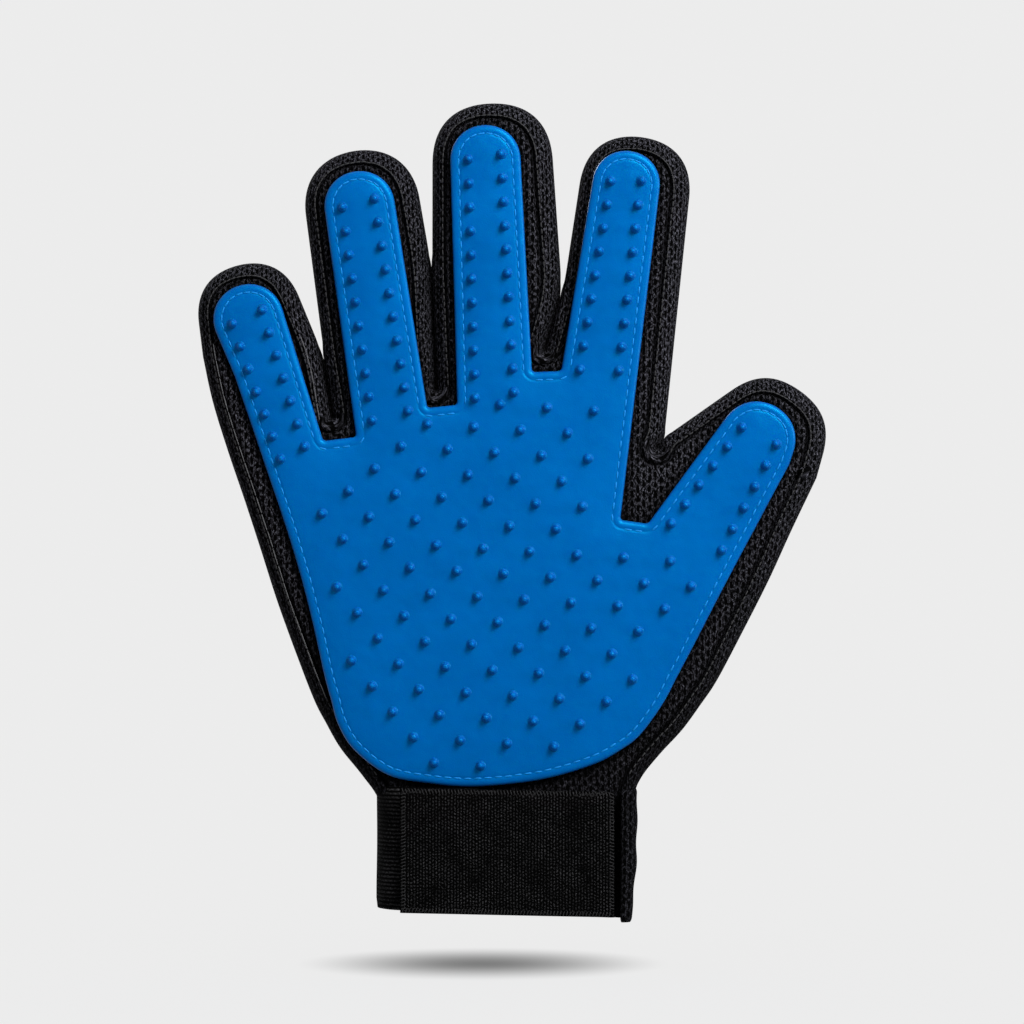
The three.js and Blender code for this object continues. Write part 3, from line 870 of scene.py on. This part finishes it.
def build_sleeve():
    shell = Shell()
    seam = seam_inset()
    # Inset and lift of each ring, from the silhouette inwards on the palm side: the back panel's rolled edge,
    # the seam's groove, then the palm panel
    front = [(seam * k, 0.0) for k in (0.0, 0.05, 0.14, 0.28, 0.4)]
    front += [(seam * k, y) for k, y in ((0.46, 0.22), (0.51, 0.55), (0.56, 0.22), (0.63, 0.0), (0.74, 0.02))]
    front += [(seam * k, y) for k, y in ((0.84, 0.25), (0.93, 1.0), (1.0, 2.0))]
    front += [(seam + d, y) for d, y in ((0.3, 1.2), (0.7, 0.55), (1.2, 0.25), (2.1, 0.15), (3.2, 0.1))]
    groove = 12
    tags = [0] * groove + [1] * (len(front) - groove)
    low = np.arange(-CUFF_X + 9, CUFF_X - 6, 4.0)[::-1]
    foot = np.c_[low, np.zeros(len(low))]
    beside_pad = [PAD.inset(d)[::2] for d in (-1.7, -0.8, 0.2)]
    rows = side_surface(shell, SLEEVE, front, sleeve_front, False, foot, GRID, tags=tags, traced=beside_pad)
    back = [(d, 0.0) for d in (0.0, 0.15, 0.5, 1.1, 2.0, 3.2, 4.8, 6.8, 9.0)]
    side_surface(shell, SLEEVE, back, sleeve_back, True, foot, GRID, first=rows[0])
    flat = np.array(shell.v)
    painted_crease_values = painted_crease_shade(flat[:, [0, 2]], SLEEVE.inset(seam)) * (flat[:, 1] < 0)
    shell.v = list(map(tuple, stepped(shell.v)))
    bm = shell.bmesh()
    # A point layer that carries the painted crease shade to the mesh material
    layer = bm.verts.layers.float.new("crease")
    for v, value in zip(bm.verts, painted_crease_values):
        v[layer] = value
    bmesh.ops.remove_doubles(bm, verts=bm.verts, dist=1e-5)
    split_regions(bm)
    for region in REGIONS:
        for tag, label, node in ((0, "back_panel", "back_mesh"), (1, "palm_panel", "palm_mesh")):
            part = keep_faces(bm, lambda p, r: p == tag and r == region)
            name = f"{label}_{region_name(region)}"
            obj = object_of(part, name, MESH)
            outer = len(obj.data.vertices)
            solid = obj.modifiers.new("thickness", "SOLIDIFY")
            solid.thickness = (WALL if tag == 0 else WALL - 0.3) * MM
            solid.offset = -1
            applied(obj)
            keep_normals(obj, outer)
            move_with(obj, region)
            cad = f"{node}_panel" if region < 0 else f"{region_name(region)}_{node}"
            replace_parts(obj, cad)
    bm.free()


# ---------------- the silicone pad
PAD_FOOT = FRONT - 0.05
PAD_THICK = 2.32
# Inset and lift of each ring, from the foot round the rounded rim to the groove of the stitches and the top
PAD_RINGS = [
    (0.9, 0.0), (0.12, 0.0), (0.0, -0.25), (0.0, -1.15), (0.12, -1.55), (0.4, -1.88), (0.85, -2.1),
    (1.4, -2.2), (1.95, -2.22), (2.2, -2.16), (2.42, -2.11), (2.64, -2.16), (2.9, -2.25), (3.3, -PAD_THICK),
]


def pad_foot(p):
    """The pad's inner face, y: it lies on the palm panel."""
    return PAD_FOOT - warp(p)


def pad_top(p):
    """Outer face of the pad, y."""
    d = nearest(p, PAD.p, True)
    return pad_foot(p) - PAD_THICK - 0.35 * smooth((d - 3.3) / 7)


def digit_tips(i):
    tip, radius = DIGITS[i].pad_tip, DIGITS[i].pad_radius
    feet = [OUTER_EDGES[0] if i == 0 else SLOTS[i - 1][1], OUTER_EDGES[1] if i == LAST else SLOTS[i][0]]
    out = []
    for column, foot in enumerate(feet):
        edge = touching(foot, tip, radius, 1 if column == 0 else -1)
        down, inwards = unit(np.array(foot) - edge), unit(np.array(tip) - edge)
        first = edge + inwards * COLUMN_INSET[column]
        for k in range(DIGITS[i].column):
            out.append(first + down * (k * COLUMN_PITCH - COLUMN_START[column]))
    return out


def palm_tips():
    origin, along, down = (np.array(v) for v in LATTICE)
    out = []
    for row, (first, last) in enumerate(LATTICE_ROWS):
        for k in range(first, last + 1):
            out.append(origin + along * k + down * (row + LATTICE_TOP_ROW))
    return out


# Radius and height of a tip, from inside the pad to near its round top
TIP_PROFILE = [
    (1.8, -0.5), (1.68, -0.04), (1.48, 0.14), (1.33, 0.42), (1.21, 0.85), (1.11, 1.4), (1.03, 1.95),
    (0.96, 2.5), (0.87, 2.98), (0.74, 3.36), (0.56, 3.64), (0.32, 3.83),
]
TIP_TOP = 3.9
DIGIT_TALL, PALM_TALL = 0.8, 0.7  # how tall the digits' and the palm's tips are for that profile
TIP_SIDES = 16


def add_tip(shell, at, y, tall):
    """One moulded tip: a rounded cone that flares into the pad."""
    turns = full_turn(TIP_SIDES)
    around = np.c_[np.cos(turns), np.sin(turns)]
    lean = rng.normal(0, 0.025, 2)
    rows, uvs = [], []
    for r, h in TIP_PROFILE:
        centre = at + lean * max(h, 0)
        p = centre + around * r
        rows.append(shell.points(three(p, y - h * tall)))
        uvs.append(p + around * h)
    shell.tube(rows, uvs, True)
    top = shell.points(three((at + lean * TIP_TOP)[None], np.array([y - TIP_TOP * tall])))[0]
    base = shell.points(three(at[None], np.array([y + 0.5 * tall])))[0]
    for k in range(TIP_SIDES):
        j = (k + 1) % TIP_SIDES
        shell.face([rows[-1][k], rows[-1][j], top], [at, at, at])
        shell.face([rows[0][j], rows[0][k], base], [at, at, at])


def build_pad():
    shell = Shell()
    insets = [d for d, _ in PAD_RINGS]
    flat = [PAD.inset(d) for d in insets]
    rows = [shell.points(three(p, pad_foot(p) + lift)) for p, (_, lift) in zip(flat, PAD_RINGS)]
    spread, uvs = 0.0, []
    for k in range(len(rows)):
        if k:
            spread += math.hypot(insets[k] - insets[k - 1], PAD_RINGS[k][1] - PAD_RINGS[k - 1][1])
        uvs.append(PAD.p + PAD.n * (spread - 3.0))
    shell.tube(rows, uvs, False)
    shell.cap(rows[-1], flat[-1], pad_top, 3.6, False)
    shell.cap(rows[0], flat[0], pad_foot, 6.0, True)
    bm = shell.bmesh()
    split_regions(bm)
    tips = [(p, DIGIT_TALL) for i in range(len(DIGITS)) for p in digit_tips(i)]
    tips += [(p, PALM_TALL) for p in palm_tips()]
    heights = pad_top(np.array([p for p, _ in tips]))
    for r in REGIONS:
        part = keep_faces(bm, lambda _, q: q == r)
        open_edges = [e for e in part.edges if len(e.link_faces) == 1]
        bmesh.ops.holes_fill(part, edges=open_edges, sides=0)
        for face in part.faces:
            if len(face.verts) > 4:
                face.smooth = False
        cone = Shell()
        for (at, tall), y in zip(tips, heights):
            if region_of(at) == r:
                add_tip(cone, at, y, tall)
        name = f"silicone_pad_{region_name(r)}"
        obj = object_of(part, name, SILICONE)
        keep_normals(obj, len(obj.data.vertices))
        extra = object_of(cone.bmesh(), name + "_tips", SILICONE)
        move_with(obj, r)
        move_with(extra, r)
        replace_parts(obj, "palm_pad" if r < 0 else f"{region_name(r)}_pad")
    bm.free()


# ---------------- stitches
# Position along a stitch, lift and size of each of its rings
STITCH_RINGS = [
    (-0.5, -0.9, 0.35), (-0.42, -0.25, 0.85), (-0.2, 0.2, 1.0), (0.2, 0.2, 1.0), (0.42, -0.25, 0.85),
    (0.5, -0.9, 0.35),
]


def capsule(shell, centre, way, out, length, radius, sides=6):
    """A stitch: a short thread whose ends dip into the material. All vectors are 3D."""
    way, out = unit(way), unit(out)
    side = np.cross(way, out)
    rows, uvs = [], []
    turns = full_turn(sides)
    for t, lift, size in STITCH_RINGS:
        c = centre + way * t * length + out * lift * radius
        ring = [c + (side * math.cos(a) + out * math.sin(a)) * radius * size for a in turns]
        rows.append(shell.points(ring))
        uvs.append([(centre[0] + t * length, centre[2] + a * 0.2) for a in turns])
    shell.tube(rows, uvs, False)
    shell.face(rows[0][::-1], uvs[0][::-1])
    shell.face(rows[-1], uvs[-1])


def stitch_run(outline, inset, y_of, pitch, length, radius, name, material, skip=None):
    """A row of stitches along an outline, split among the regions."""
    count = int(outline.length / pitch)
    s = (np.arange(count) + 0.5) * outline.length / count
    inset = np.interp(s, outline.run, np.broadcast_to(inset, (len(outline.p),)))
    points, ways = outline.at(s, inset)
    ys = y_of(points, inset)
    shells = {r: Shell() for r in REGIONS}
    for p, w, y in zip(points, ways, ys):
        if skip and skip(p):
            continue
        wobble = rng.normal(0, 0.03, 2)
        centre = np.array([p[0] + wobble[0], y, p[1] + wobble[1]])
        capsule(shells[region_of(p)], centre, (w[0], 0, w[1]), (0, -1, 0), length, radius)
    for r, shell in shells.items():
        if not shell.v:
            continue
        obj = object_of(shell.bmesh(), f"{name}_{region_name(r)}", material)
        move_with(obj, r)


# ---------------- the cuff
CUFF_MIDDLE = 19.0  # height at which the cuff's outline is taken


def cuff_path(x_from, x_to, offset):
    """Points 1 mm apart and normals round the cuff, from x_from on the palm side, by the little finger's side
    and the back, to x_to on the palm side, offset outwards."""
    front = [(d - CUFF_X, d, 1) for d in np.arange(CUFF_X + x_from, 0, -0.5)]
    back = [(x, CUFF_X - abs(x), 0) for x in np.arange(-CUFF_X, CUFF_X, 0.5)]
    right = [(CUFF_X - d, d, 1) for d in np.arange(0, CUFF_X - x_to, 0.5)]
    x, inset, palm = np.array(front + back + right).T
    at = np.c_[x, np.full(len(x), CUFF_MIDDLE)]
    p = np.c_[x, np.where(palm > 0, sleeve_front(at, inset), sleeve_back(at, inset))]
    run = lengths(p)
    s = np.arange(0, run[-1], 1.0)
    p = np.c_[np.interp(s, run, p[:, 0]), np.interp(s, run, p[:, 1])]
    for _ in range(3):
        p[1:-1] = (p[:-2] + 2 * p[1:-1] + p[2:]) / 4
    way = np.gradient(p, axis=0)
    way /= np.linalg.norm(way, axis=1)[:, None]
    normal = np.c_[-way[:, 1], way[:, 0]]
    return p + normal * offset, normal


def ribbon(path, normals, low, high, thickness, name, material, slot, body, rows=14, soft=0.45, wave=0.0):
    """A strap on edge: a rounded rectangle carried along a path in the XY plane. low and high give its bottom
    and top edge from x. It thins over soft millimetres at its ends, and wave is how far it ripples."""
    half = thickness / 2
    zs = np.linspace(0, 1, rows)
    section = [(half, t) for t in zs] + [(-half, t) for t in zs[::-1]]
    shell = Shell()
    run = lengths(path)
    rings, uvs = [], []
    for i, (p, n) in enumerate(zip(path, normals)):
        end = min(1.0, 0.45 + 0.55 * min(run[i], run[-1] - run[i]) / soft)
        bottom, height = low(p[0]), high(p[0]) - low(p[0])
        ring, uv = [], []
        for o, t in section:
            z = bottom + height * t
            edge = min(t, 1 - t) * height
            thin = min(1.0, 0.5 + 0.5 * edge / 0.6) * end
            ripple = wave * math.sin(run[i] * 0.21 + 1.3 * t) * math.sin(z * 0.17 + 0.5)
            q = p + n * (o * thin + ripple)
            ring.append((q[0] - slant(q[0], z), q[1], z))
            uv.append((run[i] + path[0][0], z + (0 if o > 0 else 50)))
        rings.append(shell.points(ring))
        uvs.append(uv)
    shell.tube(rings, uvs, False)
    shell.face(rings[0][::-1], uvs[0][::-1])
    shell.face(rings[-1], uvs[-1])
    bm = shell.bmesh()
    bmesh.ops.recalc_face_normals(bm, faces=bm.faces)
    return placed(bm, name, material, body)


TAB_LEFT, TAB_RIGHT = -30.7, 31.4
TAB_Y = -16.65  # middle of the tab's thickness
TAB_BOW = 0.35  # how far the tab's middle stands out
TAPE_LEFT, TAPE_LOW, TAPE_HIGH, TAPE_THICK = -29.2, 3.4, 35.2, 0.95  # hook tape and loop tape


def hem(x):
    """Height of the cuff's lower edge."""
    return HEM_RISE * (CUFF_X - x) / (2 * CUFF_X)


def along_tab(x):
    return (x - TAB_LEFT) / (TAB_RIGHT - TAB_LEFT)


def tab_low(x):
    return 1.9 - 1.3 * along_tab(x)


def tab_high(x):
    return 38.1 - 1.1 * along_tab(x)


def straight(x0, x1, y, bow=0.0):
    """Points 1 mm apart and normals along a strap that faces the palm's side."""
    x = np.linspace(x0, x1, int(abs(x1 - x0)) + 1)
    t = (x - x0) / (x1 - x0)
    return np.c_[x, y - bow * np.sin(t * math.pi)], np.tile([0.0, -1.0], (len(x), 1))


def build_tape(right, y, name, material, body):
    path, normals = straight(TAPE_LEFT, right, y)
    return ribbon(
        path, normals, lambda x: TAPE_LOW, lambda x: TAPE_HIGH, TAPE_THICK, name, material, name, body,
    )


def build_cuff():
    elastic = ribbon(
        *cuff_path(-8.0, 33.6, 0.95), lambda x: hem(x) + 0.1, lambda x: 38.3 - 0.9 * (x + 38) / 76,
        1.2, "wrist_elastic_band", ELASTIC, "elastic", "hand", wave=0.12,
    )
    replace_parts(elastic, "wrist_elastic")
    binding = ribbon(
        *cuff_path(30.0, 30.0, -2.9), lambda x: hem(x) + 0.4, lambda x: hem(x) + 8.4,
        0.9, "cuff_binding", BINDING, "binding", "hand", rows=6,
    )
    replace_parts(binding, "cuff_hem_binding")
    tab = ribbon(
        *straight(TAB_LEFT, TAB_RIGHT, TAB_Y, TAB_BOW), tab_low, tab_high,
        1.25, "wrist_tab", WEBBING, "tab_webbing", "tab", rows=30, soft=0.8, wave=0.06,
    )
    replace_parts(tab, "strap_tab")
    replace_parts(build_tape(-12.2, -15.42, "hook_tape", HOOK_TAPE, "tab"), "strap_hook_tape")
    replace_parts(build_tape(-9.2, -14.34, "loop_tape", LOOP_TAPE, "hand"), "strap_loop_tape")
    build_fold()
    build_border()


FOLD_LOW, FOLD_HIGH = -0.9, 37.4


def build_fold():
    """The mesh fold on the thumb side: a soft roll that the tab is sewn into."""
    outline = np.array([
        (33.3, -12.4), (33.2, -15.0), (33.35, -16.9), (34.1, -17.75), (35.3, -17.95), (36.6, -17.5),
        (37.6, -16.2), (38.0, -14.0), (38.2, -9.0), (38.2, -3.0), (38.1, 3.0), (37.9, 7.2), (37.3, 8.0),
        (36.9, 7.0), (36.85, 3.0), (36.85, -3.0), (36.5, -7.5), (35.6, -10.6), (34.4, -12.2),
    ])
    ring = spline(np.vstack([outline, outline[:1]]), 3)[:-1]
    levels = np.r_[np.linspace(FOLD_LOW, 0.2, 4), np.linspace(1.5, 35.5, 24), np.linspace(36.3, FOLD_HIGH, 4)]
    centre = ring.mean(0)
    shell = Shell()
    rows, uvs = [], []
    for z in levels:
        near_end = min(z - FOLD_LOW, FOLD_HIGH - z)
        tuck = 1 - 0.16 * max(0.0, 1 - near_end / 1.1) ** 2
        p = centre + (ring - centre) * tuck
        sway = 0.18 * math.sin(z * 0.5) * smooth((ring[:, 0] - 34) / 2)
        p[:, 0] += sway - slant(p[:, 0], z)
        p[:, 1] += 0.22 * math.sin(z * 0.38 + 1) * (ring[:, 1] < -10)
        rows.append(shell.points(np.c_[p[:, 0], p[:, 1], np.full(len(p), z)]))
        uvs.append(np.c_[lengths(p), np.full(len(p), z)])
    shell.tube(rows, uvs, True)
    shell.face(rows[0], uvs[0])
    shell.face(rows[-1][::-1], uvs[-1][::-1])
    bm = shell.bmesh()
    bmesh.ops.recalc_face_normals(bm, faces=bm.faces)
    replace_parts(placed(bm, "thumb_side_fold", MESH, "hand"), "strap_anchor_fold")


def build_border():
    """Overlock stitches round the tab's edge."""
    shell = Shell()
    inset, pitch, tilt = 0.85, 0.95, 0.35
    face = TAB_Y - 0.62
    stitches = []
    for x in np.arange(TAB_LEFT + 0.8, TAB_RIGHT - 0.5, pitch):
        y = face - TAB_BOW * math.sin(along_tab(x) * math.pi)
        stitches += [((x, y, tab_low(x) + inset), (tilt, 0, 1)), ((x, y, tab_high(x) - inset), (-tilt, 0, 1))]
    for z in np.arange(3.2, 36.8, pitch):
        y = face - 0.03
        stitches += [((TAB_LEFT + inset, y, z), (1, 0, tilt)), ((TAB_RIGHT - inset, y, z), (1, 0, -tilt))]
    for at, way in stitches:
        capsule(shell, np.array(at), way, (0, -1, 0), 1.5, 0.14, 5)
    placed(shell.bmesh(), "tab_edge_stitches", DARK_THREAD, "tab")


build_sleeve()
build_pad()
stitch_run(
    PAD, 2.42, lambda p, d: pad_foot(p) - 2.1, 3.0, 2.35, 0.25, "pad_stitches", BLUE_THREAD,
)
stitch_run(
    SLEEVE, seam_inset() * 0.86, lambda p, d: sleeve_front(p, d) + 0.12, 1.9, 1.5, 0.2, "seam_stitches",
    BLACK_THREAD, skip=lambda p: p[1] < 41,
)
stitch_run(
    SLEEVE, 3.9, lambda p, d: sleeve_front(p, d) - 0.05, 5.2, 5.0, 0.15, "edge_thread", GREY_THREAD,
    skip=lambda p: p[0] > -52 or not 66 < p[1] < 168,
)
build_cuff()


# ---------------- floor, light and camera
PAPER_GREY = 0.1  # the paper's own reflectance
PAPER_GLOW = 0.79  # light it gives off, so that it looks the same at any slope
PAINTED_SHADOW = ((-0.0072, 0.006), (0.0555, 0.064), 0.76)  # middle, half axes and depth of the soft shadow painted on it


def stage_material():
    m = Nodes("studio_paper")
    x, y = m.split(m.add("ShaderNodeTexCoord").outputs["Object"])
    (x0, y0), (rx, ry), depth = PAINTED_SHADOW
    square = None
    for value, middle, reach in ((x, x0, rx), (y, y0, ry)):
        part = m.math("POWER", m.over(m.minus(value, middle), reach), 2.0)
        square = part if square is None else m.plus(square, part)
    # Painted shadow: the paper's glow is dimmed in a soft ellipse under the cuff, since the paper takes no
    # real shadow
    painted_shadow = m.math("POWER", m.math("SUBTRACT", 1.0, square, clamp=True), 1.75)
    glow = m.times(m.minus(1.0, m.times(painted_shadow, depth)), PAPER_GLOW)
    m.put(glow, m.shader.inputs["Emission Color"])
    paper_grey = grey(PAPER_GREY, (1, 1, 1))
    return m.finish(paper_grey, 0.95, Specular_IOR_Level=0.0, Emission_Strength=1.0)


FLOOR = -0.0145
SWEEP_RADIUS = 2.0
SWEEP_CURVE = 0.8
SWEEP_TOP = 3.6


def build_stage():
    """Paper all round: floor, curve and wall in one sheet. Only the camera sees it, so the glove's light
    doesn't depend on it."""
    profile = [(r, FLOOR) for r in (0.15, 0.4, 0.9, 1.4, SWEEP_RADIUS)]
    for a in np.linspace(0, math.pi / 2, 13)[1:]:
        profile.append((SWEEP_RADIUS + SWEEP_CURVE * math.sin(a), FLOOR + SWEEP_CURVE * (1 - math.cos(a))))
    profile.append((SWEEP_RADIUS + SWEEP_CURVE, SWEEP_TOP))
    sides = 72
    turns = full_turn(sides)
    verts = [(0, 0, FLOOR)] + [(r * math.cos(t), r * math.sin(t), z) for r, z in profile for t in turns]
    faces = [(0, 1 + k, 1 + (k + 1) % sides) for k in range(sides)]
    for ring in range(len(profile) - 1):
        first = 1 + ring * sides
        for k in range(sides):
            j = (k + 1) % sides
            faces.append((first + k, first + sides + k, first + sides + j, first + j))
    mesh = bpy.data.meshes.new("paper_sweep")
    mesh.from_pydata(verts, [], faces)
    for poly in mesh.polygons:
        poly.use_smooth = True
    mesh.materials.append(stage_material())
    obj = linked("paper_sweep", mesh)
    obj.visible_diffuse = obj.visible_glossy = obj.visible_transmission = obj.visible_shadow = False
    return obj


LIGHT_AIM = (0, 0, 0.12)


def area_light(name, place, size, power, only):
    data = bpy.data.lights.new(name, "AREA")
    data.shape = "DISK"
    data.size = size
    data.energy = power
    obj = linked(name, data)
    obj.location = place
    obj.rotation_euler = (Vector(LIGHT_AIM) - Vector(place)).to_track_quat("-Z", "Y").to_euler()
    obj.light_linking.receiver_collection = only


paper = build_stage()
lit_glove = bpy.data.collections.new("lit_glove")
for obj in bpy.context.scene.objects:
    if obj.type == "MESH" and obj != paper:
        lit_glove.objects.link(obj)
area_light("key", (0.4, -0.66, 0.68), 0.5, 14.2, lit_glove)
area_light("side", (0.95, -0.3, 0.3), 0.4, 3.4, lit_glove)
area_light("back", (-0.5, 0.75, 0.6), 0.5, 4.0, lit_glove)
world = bpy.data.worlds.new("studio")
bpy.context.scene.world = world
world.use_nodes = True
background = world.node_tree.nodes["Background"]
background.inputs[0].default_value = (1, 1, 1, 1)
background.inputs[1].default_value = 0.5

camera = bpy.data.cameras.new("camera")
camera.lens = 200
camera.sensor_width = 36
camera_object = linked("camera", camera)
camera_object.location = (0.0017, -1.664, 0.118)
camera_object.rotation_euler = (math.radians(90), 0, 0)
bpy.context.scene.camera = camera_object
bpy.context.scene.view_settings.view_transform = "Standard"
